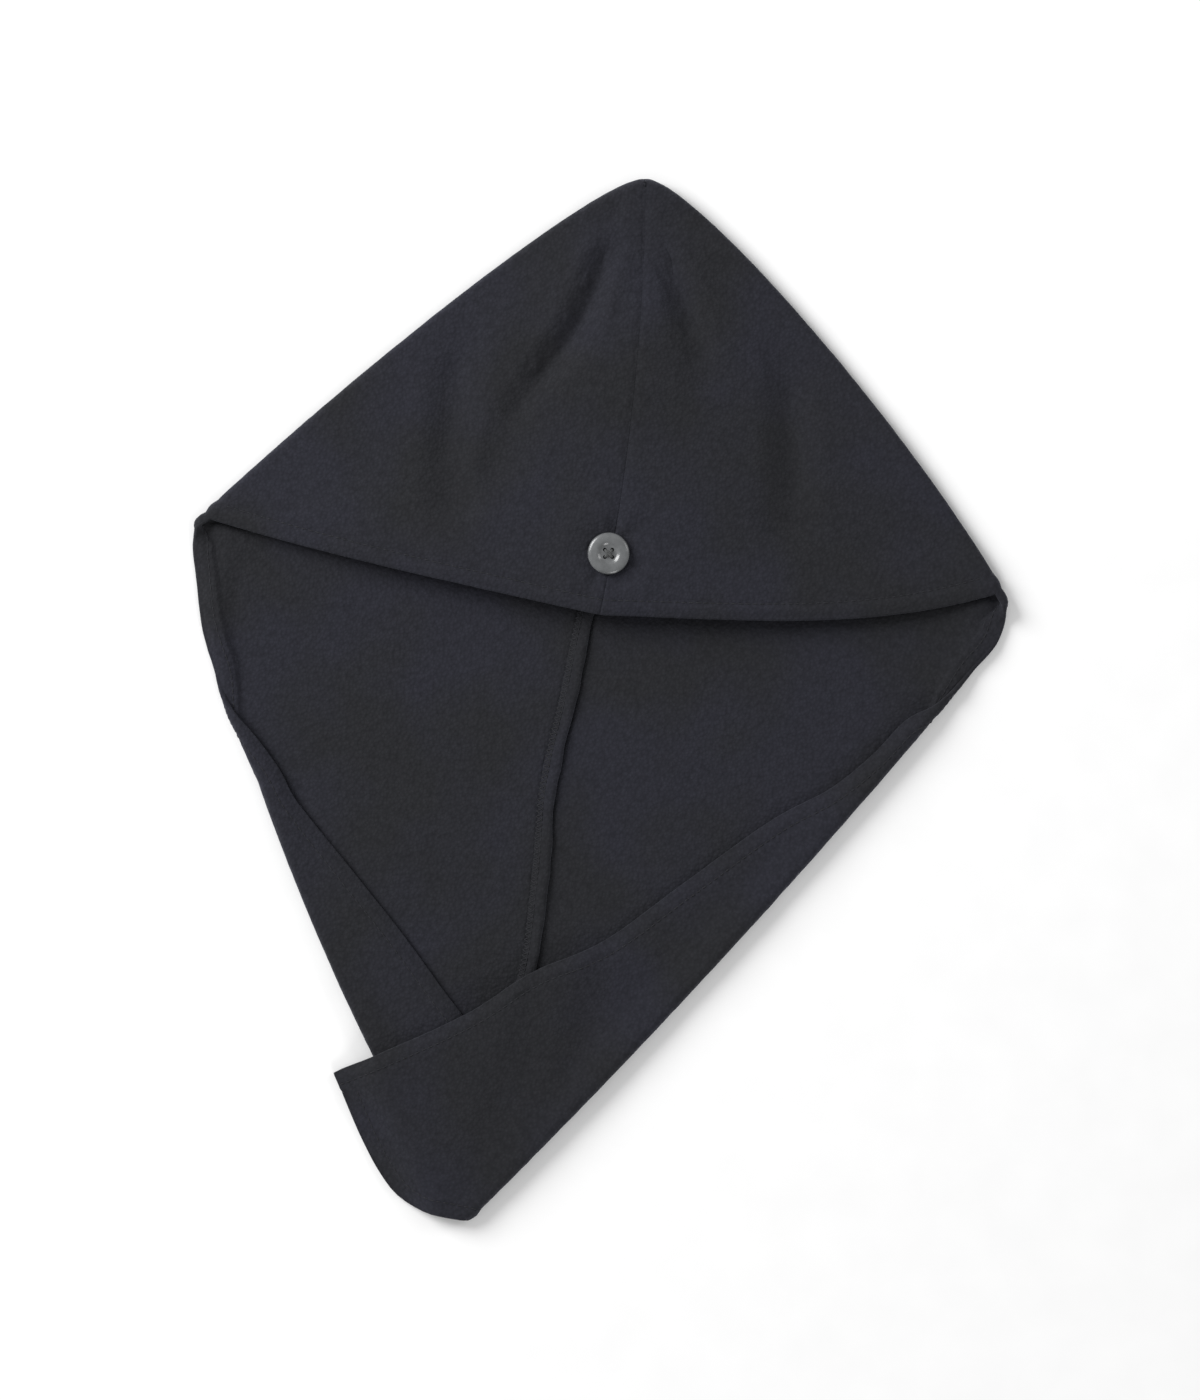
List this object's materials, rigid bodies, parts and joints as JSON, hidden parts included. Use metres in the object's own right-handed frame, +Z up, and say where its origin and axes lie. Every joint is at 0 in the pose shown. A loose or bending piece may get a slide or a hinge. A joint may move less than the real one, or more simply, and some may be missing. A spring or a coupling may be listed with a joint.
{
  "type": "hair turban towel",
  "caption": "Dark towelling hair turban lying flat: pointed hood with hemmed rim and forehead button, seamed back, and tapering tail with both sides folded inward",
  "frame": {"origin": "middle of the outline, on the surface that the towel lies on", "axes": "+X across the opening to the right as seen from above with the peak up, +Y from the tail to the peak, +Z up from the surface"},
  "size_m": [0.3914, 0.5012, 0.0167],
  "materials": {
    "towelling": "soft brushed terry pile, near black",
    "seam_edge": "overlocked cloth edge, near black",
    "elastic": "braided elastic cord, black",
    "button": "smoky grey resin, polished",
    "thread": "dark sewing thread"
  },
  "bodies": {
    "root": {"left_panel": "towelling", "right_panel": "towelling", "centre_seam": "seam_edge", "elastic_loop": "elastic", "button": "button", "button_thread": "thread"}
  },
  "joints": []
}
